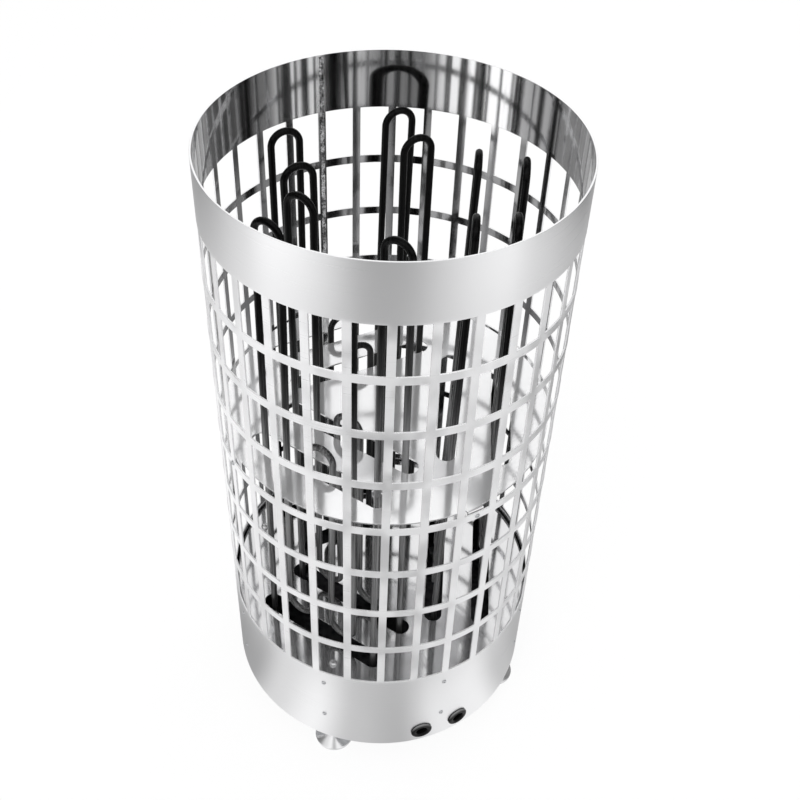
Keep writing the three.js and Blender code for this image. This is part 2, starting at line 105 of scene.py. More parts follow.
# Radius and height where the foot's cone runs into its hub
HUB_FILLET = [(0.0105, 0.0106), (0.0088, 0.0118), (0.0076, 0.0132), (HUB_R, 0.015)]
NUT_H = 0.0065
STUD_R, STUD_TOP = 0.004, 0.075
# The thread's root is a share of the stud's radius
THREAD_PITCH, THREAD_ROOT = 0.00125, 0.86
BOLT_R, BOLT_L, BOLT_HEAD_R, BOLT_HEAD_H, BOLT_EDGE = 0.003, 0.029, 0.00525, 0.004, 0.0008
BOLT_SOCKET_R, BOLT_SOCKET_FLOOR = 0.0022, 0.0018
BOLT_HOLE_R, STUD_HOLE_R = 0.0037, 0.0047

GROMMET_TURNS = {"left": -7.6, "right": 7.6}
GROMMET_Z = 0.057
GROMMET_R, GROMMET_BORE_R, GROMMET_HOLE_R = 0.01425, 0.007, 0.010
# Along its axis from the sheet's outer face: its front, where its back rim starts, and its back
GROMMET_FRONT, GROMMET_BEHIND, GROMMET_BACK = 0.0032, -0.0031, -0.0065
# How far its front curves in from the rim, then down to the bore
GROMMET_CROWN, GROMMET_LIP = 0.0042, 0.0028
GROMMET_EDGE = 0.0008

SCREW_ROWS = (0.158, 0.086)
SCREWS_ROUND = 8
SCREW_R = 0.0029
SCREW_SINK = 0.0001
LUG_SCREW_DROP = 0.0065

# Camera, worked out from the cage's rims and bars in an 800 by 800 frame
IMAGE_SIZE, FOCAL_PX, SENSOR_MM = 800, 1121.93, 36
CAMERA_TURN, CAMERA_REACH, CAMERA_Z = -25.0, 0.97962, 1.39452
CAMERA_YAW, CAMERA_PITCH, CAMERA_ROLL = 0.9517, 43.124, 2.4168


def polar(turn, r, z=0.0):
    """Point at a turn round the cage's axis."""
    a = math.radians(turn)
    return Vector((r * math.sin(a), -r * math.cos(a), z))


def outward(turn, r, z):
    """Frame at a turn: local +Y points outward and local +Z up."""
    return Matrix.Translation(polar(turn, r, z)) @ Matrix.Rotation(math.radians(turn + 180), 4, "Z")


def cage_levels():
    """Tiers of the sheet from its bottom edge up, as (low, high, open)."""
    top = CAGE_TOP - TOP_BAND
    low = top - WINDOW_ROWS * WINDOW_H - (WINDOW_ROWS - 1) * CROSS_BAR_H
    tiers = [(CAGE_BOTTOM, low, False)]
    for row in range(WINDOW_ROWS):
        start = low + row * (WINDOW_H + CROSS_BAR_H)
        tiers.append((start, start + WINDOW_H, True))
        if row < WINDOW_ROWS - 1:
            tiers.append((start + WINDOW_H, start + WINDOW_H + CROSS_BAR_H, False))
    tiers.append((top, CAGE_TOP, False))
    return tiers


# Materials


class Nodes:
    """A node tree with short calls for its nodes."""

    def __init__(self, tree):
        self.tree = tree

    def add(self, kind, links=None, **settings):
        node = self.tree.nodes.new(kind)
        for key, value in settings.items():
            setattr(node, key, value)
        for key, value in (links or {}).items():
            self.feed(node.inputs[key], value)
        return node

    def feed(self, socket, value):
        """Links an output to a socket, or sets a constant on it."""
        if isinstance(value, bpy.types.NodeSocket):
            self.tree.links.new(value, socket)
        else:
            socket.default_value = value

    def remap(self, value, low, high, start=0.3, end=0.7):
        links = {"Value": value, "From Min": start, "From Max": end, "To Min": low, "To Max": high}
        return self.add("ShaderNodeMapRange", links).outputs["Result"]

    def math(self, operation, *values):
        return self.add("ShaderNodeMath", dict(enumerate(values)), operation=operation).outputs["Value"]

    def length(self, vector):
        return self.add("ShaderNodeVectorMath", {0: vector}, operation="LENGTH").outputs["Value"]

    def ramp(self, value, *stops):
        node = self.add("ShaderNodeValToRGB", {"Fac": value})
        elements = node.color_ramp.elements
        while len(elements) < len(stops):
            elements.new(1.0)
        for element, (position, colour) in zip(elements, stops):
            element.position = position
            element.color = (*colour, 1)
        return node.outputs["Color"]

    def tones(self, value, stops):
        """Grey ramp with eased steps."""
        colour = self.ramp(value, *[(position, (tone, tone, tone)) for position, tone in stops])
        colour.node.color_ramp.interpolation = "EASE"
        return colour

    def mix(self, factor, low, high):
        node = self.add("ShaderNodeMix", {"Factor": factor}, data_type="RGBA")
        self.tree.links.new(low, node.inputs[6])
        self.tree.links.new(high, node.inputs[7])
        return node.outputs[2]

    def share(self, vector):
        """How far round a vector points, as 0 to 1 with 0.5 on the photograph's side, and its height."""
        turned = self.add(
            "ShaderNodeMapping", {"Vector": vector, "Rotation": (0, 0, math.radians(-CAMERA_TURN))}
        )
        axes = self.add("ShaderNodeSeparateXYZ", {"Vector": turned.outputs["Vector"]}).outputs
        around = self.math("ARCTAN2", axes["X"], self.math("MULTIPLY", axes["Y"], -1.0))
        return self.remap(around, 0.0, 1.0, -math.pi, math.pi), axes["Z"]


class Shader(Nodes):
    """A material's nodes round its Principled shader."""

    def __init__(self, name):
        self.material = bpy.data.materials.new(name)
        self.material.use_nodes = True
        super().__init__(self.material.node_tree)
        self.bsdf = self.tree.nodes["Principled BSDF"]
        self.object = self.add("ShaderNodeTexCoord").outputs["Object"]

    def height(self):
        return self.add("ShaderNodeSeparateXYZ", {"Vector": self.object}).outputs["Z"]

    def noise(self, stretch, scale=1.0, detail=3.0, roughness=0.55):
        """Noise over the object, stretched along its axes."""
        place = self.add("ShaderNodeMapping", {"Vector": self.object, "Scale": stretch})
        settings = {"Scale": scale, "Detail": detail, "Roughness": roughness}
        texture = self.add("ShaderNodeTexNoise", {"Vector": place.outputs["Vector"], **settings})
        return texture.outputs["Fac"]

    def bump(self, *layers):
        """Bump from (height, distance) layers, one over another."""
        normal = None
        for height, distance in layers:
            links = {"Height": height, "Distance": distance, "Strength": 1.0}
            if normal is not None:
                links["Normal"] = normal
            normal = self.add("ShaderNodeBump", links).outputs["Normal"]
        self.set(Normal=normal)

    def set(self, **inputs):
        for key, value in inputs.items():
            self.feed(self.bsdf.inputs[key.replace("_", " ")], value)
        return self


def grey(value):
    """Neutral tone with a hint of blue."""
    return (value, value, value * 1.01)


def steel(name, tone, roughness, grain, grain_depth, wave=(4, 4, 4), wave_depth=0.0, metallic=1.0):
    """Steel with a grain along one way of the surface, cloudy tone and a slight wave."""
    shader = Shader(name)
    lines = shader.noise(grain, detail=4)
    cloud = shader.noise((6, 6, 6), detail=5)
    shader.set(Metallic=metallic)
    shader.set(Base_Color=shader.ramp(cloud, (0.25, grey(tone[0])), (0.75, grey(tone[1]))))
    shader.set(Roughness=shader.remap(lines, *roughness))
    shader.bump((lines, grain_depth), (shader.noise(wave, detail=2), wave_depth))
    return shader.material


def satin_sheet():
    """Horizontally brushed sheet; its pierced part is paler and unevenly matt from being deburred."""
    shader = Shader("steel_satin")
    lines = shader.noise((5, 5, 2200), detail=4)
    cloud = shader.noise((6, 6, 6), detail=5)
    height = shader.height()
    low, high = cage_levels()[0][1], CAGE_TOP - TOP_BAND
    above = shader.remap(height, 0.0, 1.0, low - 0.004, low + 0.002)
    below = shader.remap(height, 1.0, 0.0, high - 0.002, high + 0.004)
    pierced = shader.math("MULTIPLY", above, below)
    patches = shader.noise((26, 26, 20), detail=2)
    deburred = shader.math("MULTIPLY", pierced, shader.remap(patches, 0.0, 0.48, 0.38, 0.58))
    shader.set(Base_Color=shader.ramp(cloud, (0.25, grey(0.77)), (0.75, grey(0.81))))
    shader.set(Metallic=shader.math("SUBTRACT", 1.0, deburred))
    shader.set(Roughness=shader.remap(lines, 0.27, 0.34))
    shader.bump((lines, 0.000001), (shader.noise((3, 3, 5), detail=2), 0.00004))
    return shader.material


def mirror_sheet():
    """Bright inside of the sheet with a slight wave, painted darker between the mid plate and the top band
    as painted shade.
    """
    shader = Shader("steel_mirror")
    lines = shader.noise((260, 260, 3), detail=4)
    cloud = shader.noise((6, 6, 6), detail=5)
    height = shader.height()
    top = CAGE_TOP - TOP_BAND
    above = shader.remap(height, 0.0, 1.0, MID_TOP, MID_TOP + 0.06)
    below = shader.remap(height, 1.0, 0.0, top - 0.01, top + 0.002)
    bright = shader.ramp(cloud, (0.25, grey(0.6)), (0.75, grey(0.68)))
    # Painted shade: darker tone for the inside between the mid plate and the top band
    painted_shade = shader.ramp(cloud, (0.25, grey(0.32)), (0.75, grey(0.42)))
    shader.set(Metallic=1.0)
    shader.set(Base_Color=shader.mix(shader.math("MULTIPLY", above, below), bright, painted_shade))
    shader.set(Roughness=shader.remap(lines, 0.05, 0.1))
    shader.bump((lines, 0.000001), (shader.noise((7, 7, 2), detail=2), 0.00012))
    return shader.material


def tube_black(name, painted_light_low, painted_light_end):
    """Black oxide with fine streaks along the tube, black at the top; painted greyer lower down and, where
    asked, on its first leg, as painted light.
    """
    level = 0.42
    shader = Shader(name)
    speckle = shader.noise((1, 1, 1), scale=900, detail=2)
    streak = shader.noise((420, 420, 5), detail=3)
    place = shader.add("ShaderNodeSeparateXYZ", {"Vector": shader.object}).outputs
    # Painted light: the lower tube, and the first leg where asked, are painted greyer as if lit from the
    # front
    low = shader.remap(place["Z"], painted_light_low, 0.12, start=0.46, end=0.62)
    upright = shader.remap(place["Z"], 0.0, 1.0, start=0.2, end=0.225)
    even = shader.math("MULTIPLY_ADD", shader.math("SUBTRACT", streak, level), upright, level)
    end = shader.remap(place["X"], painted_light_end, 0.0, -TALL_U - 0.012, -TALL_U + 0.006)
    painted_light_leg = shader.math("MULTIPLY", end, shader.remap(place["Z"], 1.0, 0.1, start=0.5, end=0.74))
    painted_light = shader.math("MULTIPLY", even, shader.math("MAXIMUM", low, painted_light_leg))
    shader.set(Base_Color=shader.ramp(painted_light, (0.05, grey(0.006)), (0.3, grey(0.06)), (0.62, grey(0.32))))
    shader.set(Roughness=shader.remap(streak, 0.22, 0.36), Specular_IOR_Level=0.2, Metallic=0.85)
    shader.bump((speckle, 0.00003), (streak, 0.00003))
    return shader.material


def rubber_black():
    """Moulded rubber whose rim, where it faces up, is painted lighter as a painted highlight, broken up by a
    mottle.
    """
    shader = Shader("rubber_black")
    grain = shader.noise((1, 1, 1), scale=1400, detail=3)
    mottle = shader.noise((1, 1, 1), scale=60, detail=5)
    normal = shader.add("ShaderNodeNewGeometry").outputs["Normal"]
    up = shader.add("ShaderNodeSeparateXYZ", {"Vector": normal}).outputs["Z"]
    flat = shader.add("ShaderNodeVectorMath", {0: shader.object, 1: (1, 1, 0)}, operation="MULTIPLY")
    reach = shader.length(flat.outputs["Vector"])
    crown = GROMMET_R - GROMMET_CROWN
    rim = shader.remap(reach, 0.0, 1.0, crown - 0.0008, crown + 0.0007)
    # Painted highlight: the up-facing rim is painted lighter, as if lit from above
    painted_highlight = shader.math("MULTIPLY", shader.remap(up, 0.0, 1.0, 0.15, 0.8), rim)
    painted_highlight = shader.math("MULTIPLY", painted_highlight, shader.remap(mottle, 0.75, 1.0))
    shader.set(Base_Color=shader.ramp(painted_highlight, (0.0, grey(0.003)), (0.9, grey(0.2))))
    shader.set(Roughness=shader.remap(mottle, 0.38, 0.55), Specular_IOR_Level=0.12)
    shader.bump((grain, 0.00003))
    return shader.material


def weld_metal():
    """Bead with dull and bright blotches the size of its ripples; the blotches are painted glints in its
    colour.
    """
    shader = Shader("weld_bead")
    ripple_glint = shader.noise((190, 190, 130), detail=2)
    scale = shader.noise((1, 1, 1), scale=600, detail=3)
    shader.set(Metallic=1.0)
    # Painted glints: the ripples' blotches set the colour from near black to near white
    shader.set(Base_Color=shader.ramp(ripple_glint, (0.36, grey(0.06)), (0.5, grey(0.4)), (0.6, grey(0.96))))
    shader.set(Roughness=shader.remap(scale, 0.14, 0.36))
    shader.bump((ripple_glint, 0.0004), (scale, 0.00003))
    return shader.material


def turned_steel():
    """Polished face with the fine rings of a lathe tool."""
    shader = Shader("turned_steel")
    rings = shader.add(
        "ShaderNodeTexWave",
        {"Vector": shader.object, "Scale": 260.0, "Distortion": 0.6, "Detail": 2.0},
        wave_type="RINGS",
        rings_direction="Z",
    )
    cloud = shader.noise((1, 1, 1), scale=40, detail=4)
    shader.set(Metallic=0.88)
    shader.set(Base_Color=shader.ramp(cloud, (0.3, grey(0.78)), (0.7, grey(0.86))))
    shader.set(Roughness=shader.remap(cloud, 0.06, 0.14))
    shader.bump((rings.outputs["Fac"], 0.00001))
    return shader.material


def plain_metal(name, dark, light, roughness, spangle):
    """Plated or turned small part: broken spangle, scuffs and a rougher patch here and there."""
    shader = Shader(name)
    cells = shader.add("ShaderNodeTexVoronoi", {"Vector": shader.object, "Scale": spangle})
    scuffs = shader.noise((1, 1, 1), scale=300, detail=4)
    mixed = shader.math("MULTIPLY", cells.outputs["Distance"], scuffs)
    shader.set(Metallic=1.0)
    shader.set(Base_Color=shader.ramp(mixed, (0.05, dark), (0.4, light)))
    shader.set(Roughness=shader.remap(scuffs, *roughness))
    shader.bump((scuffs, 0.00003))
    return shader.material


def plain_moulding(name, dark, light, roughness):
    """Moulded or sheathed part with a fine matt grain and uneven tone."""
    shader = Shader(name)
    tone = shader.noise((1, 1, 1), scale=45, detail=5)
    grain = shader.noise((1, 1, 1), scale=1200, detail=2)
    shader.set(Base_Color=shader.ramp(tone, (0.3, dark), (0.7, light)))
    shader.set(Roughness=shader.remap(tone, *roughness))
    shader.bump((grain, 0.00003))
    return shader.material


SATIN = satin_sheet()
MIRROR = mirror_sheet()
CUT = steel("steel_cut_edge", (0.84, 0.92), (0.22, 0.36), (1500, 1500, 40), 0.00001, metallic=0.55)
PLATE = steel(
    "steel_plate", (0.94, 0.97), (0.06, 0.12), (30, 900, 30), 0.000001,
    wave=(6, 6, 6), wave_depth=0.00004, metallic=0.7,
)
FLOOR_PLATE = steel(
    "steel_base_plate", (0.7, 0.8), (0.05, 0.1), (700, 40, 40), 0.000001,
    wave=(6, 6, 6), wave_depth=0.00005,
)
WELD = weld_metal()
# Near-black carrier under the slots: painted shade, so the slots look dark
SHADED_CARRIER = plain_metal("carrier_painted_shade", (0.03, 0.03, 0.033), (0.08, 0.08, 0.085), (0.45, 0.62), 120)
ZINC = plain_metal("zinc_plate", (0.42, 0.43, 0.45), (0.62, 0.63, 0.64), (0.3, 0.48), 160)
BRASS = plain_metal("brass_turned", (0.5, 0.34, 0.11), (0.72, 0.53, 0.22), (0.24, 0.4), 240)
TURNED = turned_steel()
# Per group: painted light on the lower tube and on the first leg; the rear group gets less, as painted shade
TUBES = {
    "left": tube_black("tube_black_painted_light", 1.0, 1.1),
    "right": tube_black("tube_black", 1.0, 0.0),
    "rear": tube_black("tube_black_painted_shade", 0.4, 0.0),
}
RUBBER = rubber_black()
CERAMIC = plain_moulding("terminal_moulding", (0.66, 0.62, 0.54), (0.76, 0.73, 0.66), (0.45, 0.6))
SILICONE = plain_moulding("silicone_sheath", (0.2, 0.05, 0.035), (0.28, 0.08, 0.05), (0.5, 0.65))


# Mesh helpers


def add_mesh(name, verts, faces, materials, matrix=None, sharp=35):
    """New object with smooth faces and sharp edges above an angle."""
    mesh = bpy.data.meshes.new(name)
    mesh.from_pydata([tuple(v) for v in verts], [], faces)
    finish_mesh(mesh, sharp)
    return add_object(name, mesh, materials, matrix)


def finish_mesh(mesh, sharp=35):
    """Joins doubled points, turns faces outward and smooths all but sharp edges."""
    bm = bmesh.new()
    bm.from_mesh(mesh)
    bmesh.ops.remove_doubles(bm, verts=bm.verts, dist=1e-7)
    bmesh.ops.recalc_face_normals(bm, faces=bm.faces)
    bm.to_mesh(mesh)
    bm.free()
    mesh.shade_smooth()
    mesh.set_sharp_from_angle(angle=math.radians(sharp))


def add_object(name, mesh, materials, matrix=None):
    """Links a new object for a mesh, at the origin or at a place."""
    for material in materials:
        if material.name not in mesh.materials:
            mesh.materials.append(material)
    obj = bpy.data.objects.new(name, mesh)
    bpy.context.scene.collection.objects.link(obj)
    if matrix is not None:
        obj.matrix_world = matrix
    return obj


def with_modifiers(obj):
    """The object with its modifiers made part of its mesh."""
    bpy.context.view_layer.update()
    depsgraph = bpy.context.evaluated_depsgraph_get()
    mesh = bpy.data.meshes.new_from_object(obj.evaluated_get(depsgraph))
    obj.modifiers.clear()
    obj.data = mesh
    return obj


def lathe(profile, segments=64):
    """Vertices and faces of a profile of (radius, height) turned about Z."""
    verts, faces, rings = [], [], []
    for r, z in profile:
        if r < 1e-9:
            rings.append([len(verts)] * segments)
            verts.append(Vector((0, 0, z)))
            continue
        rings.append(list(range(len(verts), len(verts) + segments)))
        for k in range(segments):
            a = 2 * math.pi * k / segments
            verts.append(Vector((r * math.cos(a), r * math.sin(a), z)))
    for low, high in zip(rings, rings[1:]):
        for k in range(segments):
            n = (k + 1) % segments
            corners = [low[k], low[n], high[n], high[k]]
            faces.append(list(dict.fromkeys(corners)))
    return verts, faces


def arc(cx, cy, r, start, end, steps):
    """Points of an arc in a profile, angles in degrees."""
    turns = [math.radians(start + (end - start) * k / steps) for k in range(steps + 1)]
    return [(cx + r * math.cos(a), cy + r * math.sin(a)) for a in turns]


def circle(cx, cy, r, steps):
    """Points of a full circle, without repeating the first."""
    return arc(cx, cy, r, 0, 360 * (steps - 1) / steps, steps - 1)


def slot_outline(turn, row_r):
    """Round-ended slot along a row, in plan."""
    reach = (SLOT_L - SLOT_W) / 2
    local = arc(reach, 0, SLOT_W / 2, -90, 90, 24) + arc(-reach, 0, SLOT_W / 2, 90, 270, 24)
    place = outward(turn, row_r, 0)
    return [(place @ Vector((x, y, 0))).to_2d() for x, y in local]


def sheet_metal(name, outer, holes, top, material, ease=EASE):
    """Flat plate with holes and eased edges, its top face at a height."""
    curve = bpy.data.curves.new(name, "CURVE")
    curve.dimensions = "2D"
    curve.fill_mode = "BOTH"
    curve.extrude = PLATE_T / 2 - ease
    curve.bevel_depth = ease
    curve.bevel_resolution = 2
    curve.offset = -ease
    for loop in [outer, *holes]:
        spline = curve.splines.new("POLY")
        spline.points.add(len(loop) - 1)
        for point, (x, y) in zip(spline.points, loop):
            point.co = (x, y, 0, 1)
        spline.use_cyclic_u = True
    source = bpy.data.objects.new(name + "_outline", curve)
    bpy.context.scene.collection.objects.link(source)
    bpy.context.view_layer.update()
    depsgraph = bpy.context.evaluated_depsgraph_get()
    mesh = bpy.data.meshes.new_from_object(source.evaluated_get(depsgraph))
    bpy.data.objects.remove(source)
    mesh.transform(Matrix.Translation((0, 0, top - PLATE_T / 2)))
    mesh.materials.clear()
    finish_mesh(mesh, 10)
    return add_object(name, mesh, [material])


def ride(obj, body, slot, *nodes):
    """Puts a finished piece on its body and hides the nodes that it stands for. Its slot is not used."""
    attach(obj, body)
    if nodes:
        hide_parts(*nodes)
    return obj


# Cage


def cage_stations(upright_steps=2, window_steps=6):
    """Turns round the sheet, each with whether a window follows it."""
    half = math.degrees(UPRIGHT_W / 2 / CAGE_R)
    stations = []
    for k in range(UPRIGHTS):
        centre = k * COLUMN_TURN
        for s in range(upright_steps):
            stations.append((centre - half + 2 * half * s / upright_steps, False))
        for s in range(window_steps):
            stations.append((centre + half + (COLUMN_TURN - 2 * half) * s / window_steps, True))
    return stations


def cable_hole_cutter():
    """Two short rods where the grommets go through the sheet."""
    r, half = GROMMET_HOLE_R, 0.01
    verts, faces = [], []
    for turn in GROMMET_TURNS.values():
        rod_verts, rod_faces = lathe([(0, -half), (r, -half), (r, half), (0, half)], 48)
        place = outward(turn, CAGE_R, GROMMET_Z) @ Matrix.Rotation(math.radians(-90), 4, "X")
        start = len(verts)
        verts += [place @ v for v in rod_verts]
        faces += [[start + i for i in face] for face in rod_faces]
    return add_mesh("cable_hole_cutter", verts, faces, [CUT])


def cage_sheet():
    """Rolled sheet with its windows, satin outside, bright inside and on its cut edges."""
    stations, tiers = cage_stations(), cage_levels()
    heights = [tiers[0][0]] + [tier[1] for tier in tiers]
    count = len(stations)
    verts = [polar(turn, CAGE_R, z) for z in heights for turn, _ in stations]
    faces = []
    for level, (_, _, is_open) in enumerate(tiers):
        for k, (_, window) in enumerate(stations):
            if is_open and window:
                continue
            n = (k + 1) % count
            low, high = level * count, (level + 1) * count
            faces.append([low + k, low + n, high + n, high + k])
    sheet = add_mesh("cage_sheet", verts, faces, [SATIN, MIRROR, CUT])
    thick = sheet.modifiers.new("thickness", "SOLIDIFY")
    thick.thickness, thick.offset = SHEET, -1
    thick.material_offset, thick.material_offset_rim = 1, 2
    cutter = cable_hole_cutter()
    holes = sheet.modifiers.new("cable_holes", "BOOLEAN")
    holes.operation, holes.object, holes.solver = "DIFFERENCE", cutter, "EXACT"
    ease = sheet.modifiers.new("eased_edges", "BEVEL")
    ease.width, ease.segments, ease.limit_method = EASE, 2, "ANGLE"
    ease.angle_limit = math.radians(60)
    with_modifiers(sheet)
    bpy.data.objects.remove(cutter)
    sheet.data.shade_smooth()
    sheet.data.set_sharp_from_angle(angle=math.radians(20))
    return ride(sheet, "heater", "satin_steel", *[f"cage_stave_{k:02d}" for k in range(1, 16)])


def weld_bead():
    """Rippled bead down the inside of the upright where the sheet's two ends meet."""
    width, rise, sink = 0.0056, 0.0011, 0.0001
    end_gap, wander, ripple_l = 0.002, 0.0005, 0.0052
    step, across = 0.0008, 8
    steps = int((CAGE_TOP - CAGE_BOTTOM - 2 * end_gap) / step)
    verts, faces = [], []
    for j in range(steps + 1):
        z = CAGE_BOTTOM + end_gap + j * step
        drift = wander * noise.noise(Vector((0, 0, z * 60)))
        patch = min(1.0, max(0.25, 0.6 + 1.2 * noise.noise(Vector((7, 0, z * 14)))))
        ripple = 0.35 * noise.noise(Vector((3, 0, z * 220))) + 0.3 * math.cos(z * 2 * math.pi / ripple_l)
        swell = 0.7 + ripple * patch
        for i in range(across + 1):
            u = 2 * i / across - 1
            lift = rise * swell * (1 - u * u) - sink
            turn = SEAM_TURN + math.degrees((u * width / 2 + drift) / CAGE_R)
            verts.append(polar(turn, CAGE_R - SHEET - lift, z))
    row = across + 1
    for j in range(steps):
        for i in range(across):
            a = j * row + i
            faces.append([a, a + 1, a + row + 1, a + row])
    return ride(add_mesh("cage_weld", verts, faces, [WELD], sharp=80), "heater", "satin_steel")


def screw_mesh(head_r):
    """Domed head with a hexagon socket, its seat on z = 0 and its axis along +Z."""
    rise, skirt = 0.62 * head_r, 0.15 * head_r
    socket_r, floor = 0.42 * head_r, 0.3 * head_r
    profile = [(0, 0), (head_r, 0), (head_r, skirt)]
    profile += [(head_r * x, skirt + (rise - skirt) * y) for x, y in arc(0, 0, 1, 10, 80, 7)]
    profile.append((0, rise))
    head = add_mesh("screw_head", *lathe(profile, 36), [ZINC])
    socket_profile = [(0, floor), (socket_r, floor), (socket_r, head_r), (0, head_r)]
    socket = add_mesh("screw_socket", *lathe(socket_profile, 6), [ZINC])
    cut = head.modifiers.new("socket", "BOOLEAN")
    cut.operation, cut.object, cut.solver = "DIFFERENCE", socket, "EXACT"
    with_modifiers(head)
    mesh = head.data
    mesh.shade_smooth()
    mesh.set_sharp_from_angle(angle=math.radians(35))
    bpy.data.objects.remove(head)
    bpy.data.objects.remove(socket)
    return mesh


def cage_screws():
    """Two rows round the base band, and one screw into each lug of the mid plate."""
    mesh = screw_mesh(SCREW_R)
    lie_out = Matrix.Rotation(math.radians(-90), 4, "X")
    places = [
        (f"screw_row{row + 1}_{k + 1}", k * 360 / SCREWS_ROUND, z)
        for row, z in enumerate(SCREW_ROWS)
        for k in range(SCREWS_ROUND)
    ]
    bar_z = MID_TOP - LUG_SCREW_DROP
    places += [(f"screw_lug_{k + 1}", COLUMN_TURN / 2 + 90 * k, bar_z) for k in range(4)]
    for name, turn, z in places:
        screw = add_object(name, mesh, [ZINC], outward(turn, CAGE_R - SCREW_SINK, z) @ lie_out)
        ride(screw, "heater", "zinc_steel")


# Plates


def lugs():
    """Lugs bent down from the mid plate's rim behind the cross bar."""
    below_face, overlap = 0.00005, 0.0005
    inner, outer, half = LUG_R - PLATE_T, LUG_R, LUG_W / 2
    top, end, root = MID_TOP - below_face, MID_TOP - LUG_DROP, MID_PLATE_R - overlap
    profile = [(root, top - PLATE_T), (inner, top - PLATE_T), (inner, end), (outer, end)]
    profile += arc(outer - LUG_BEND, top - LUG_BEND, LUG_BEND, 0, 90, 6) + [(root, top)]
    for k in range(4):
        turn = COLUMN_TURN / 2 + 90 * k
        place = outward(turn, 0, 0)
        verts = [place @ Vector((x, y, z)) for x in (-half, half) for y, z in profile]
        n = len(profile)
        faces = [list(range(n))[::-1], list(range(n, 2 * n))]
        faces += [[i, (i + 1) % n, n + (i + 1) % n, n + i] for i in range(n)]
        lug = add_mesh(f"mid_plate_lug_{k + 1}", verts, faces, [PLATE])
        ride(lug, "heater", "polished_steel")


def element_slots():
    """Outlines of the slots that the elements stand in."""
    return [slot_outline(turn, r) for turn in GROUPS.values() for r in ROW_R.values()]


def foot_holes(r):
    """Outlines of the holes above the feet."""
    return [circle(*polar(turn, FOOT_CIRCLE_R).to_2d(), r, 40) for turn in FEET.values()]


def flange(name, top, height, material):
    """Rolled-down rim of a plate, which meets its flat part under the bend."""
    inner, centre = PLATE_R - PLATE_T, (PLATE_R - PLATE_BEND, top - PLATE_BEND)
    start = (PLATE_R - PLATE_BEND, top)
    profile = [start] + arc(*centre, PLATE_BEND, 90, 0, 8)
    profile += [(PLATE_R, top - height), (inner, top - height)]
    profile += arc(*centre, PLATE_BEND - PLATE_T, 0, 90, 6) + [start]
    return add_mesh(name, *lathe(profile, 240), [material])


def plates():
    """Mid plate, base plate and bottom cover."""
    mid = sheet_metal("mid_plate_disc", circle(0, 0, MID_PLATE_R, 240), element_slots(), MID_TOP, PLATE)
    ride(mid, "heater", "polished_steel", "mid_plate")
    lugs()
    rim = circle(0, 0, PLATE_R - PLATE_BEND, 240)
    openings = element_slots() + foot_holes(BOLT_HOLE_R)
    base = sheet_metal("base_plate_disc", rim, openings, BASE_TOP, FLOOR_PLATE, THIN_EASE)
    ride(base, "heater", "polished_steel", "base_plate")
    base_rim = flange("base_plate_flange", BASE_TOP, BASE_FLANGE_H, FLOOR_PLATE)
    ride(base_rim, "heater", "polished_steel")
    cover = sheet_metal("bottom_cover_disc", rim, foot_holes(STUD_HOLE_R), COVER_TOP, ZINC, THIN_EASE)
    ride(cover, "heater", "zinc_steel", "bottom_cover")
    cover_rim = flange("bottom_cover_flange", COVER_TOP, COVER_TOP - COVER_FOOT, ZINC)
    ride(cover_rim, "heater", "zinc_steel")


# Elements


def half_turn(steps):
    """Points of a half turn of unit radius, from left to right."""
    turns = [math.pi * k / steps for k in range(steps + 1)]
    return [(-math.cos(a), math.sin(a)) for a in turns]


def element_rings(first, short, last, bend_steps=20):
    """Centre line of an element in its row, as points with their tangents in x and z."""
    rings = [(Vector((-TERMINAL_U, 0, TUBE_END)), (0, 1))]

    def over(x, top, stance):
        for c, s in half_turn(bend_steps):
            point = Vector((x + LOOP_R * c, 0, top - LOOP_R + LOOP_R * s))
            rings.append((point + Vector(stance), (s, -c)))

    def under(x):
        for c, s in half_turn(bend_steps):
            rings.append((Vector((x + LOW_R * c, 0, LOW_BOTTOM + LOW_R - LOW_R * s)), (s, c)))

    over(-TALL_U, TALL_TOP, first)
    under(-LOW_U)
    over(0, SHORT_TOP, short)
    under(LOW_U)
    over(TALL_U, TALL_TOP, last)
    rings.append((Vector((TERMINAL_U, 0, TUBE_END)), (0, -1)))
    return rings


def element_mesh(rings, sides=20):
    """Bent tube with closed ends along its rings."""
    verts, faces = [], []
    for point, (tx, tz) in rings:
        for k in range(sides):
            a = 2 * math.pi * k / sides
            across, deep = TUBE_R * math.cos(a), TUBE_R * math.sin(a)
            verts.append(point + Vector((tz * across, deep, -tx * across)))
    for j in range(len(rings) - 1):
        for k in range(sides):
            n = (k + 1) % sides
            faces.append([j * sides + k, j * sides + n, (j + 1) * sides + n, (j + 1) * sides + k])
    faces.append(list(range(sides))[::-1])
    faces.append(list(range((len(rings) - 1) * sides, len(rings) * sides)))
    return verts, faces


def element_ends():
    """Glands with chamfered hexagons, and the pins below them."""
    corner, cut = GLAND_AF / math.sqrt(3), END_CHAMFER
    low, high = CARRIER_TOP + GAP, CARRIER_TOP + GAP + GLAND_H
    gland = [(0, low), (corner, low), (corner, high - cut), (corner - cut, high), (0, high)]
    tip, root = TUBE_END - PIN_L, TUBE_END + PIN_SINK
    pin = [(0, tip), (PIN_R * 0.7, tip), (PIN_R, tip + cut), (PIN_R, root), (0, root)]
    verts, faces = [], []
    for x in (-TERMINAL_U, TERMINAL_U):
        for profile, segments in ((gland, 6), (pin, 16)):
            part_verts, part_faces = lathe(profile, segments)
            start = len(verts)
            verts += [v + Vector((x, 0, 0)) for v in part_verts]
            faces += [[start + i for i in face] for face in part_faces]
    return verts, faces


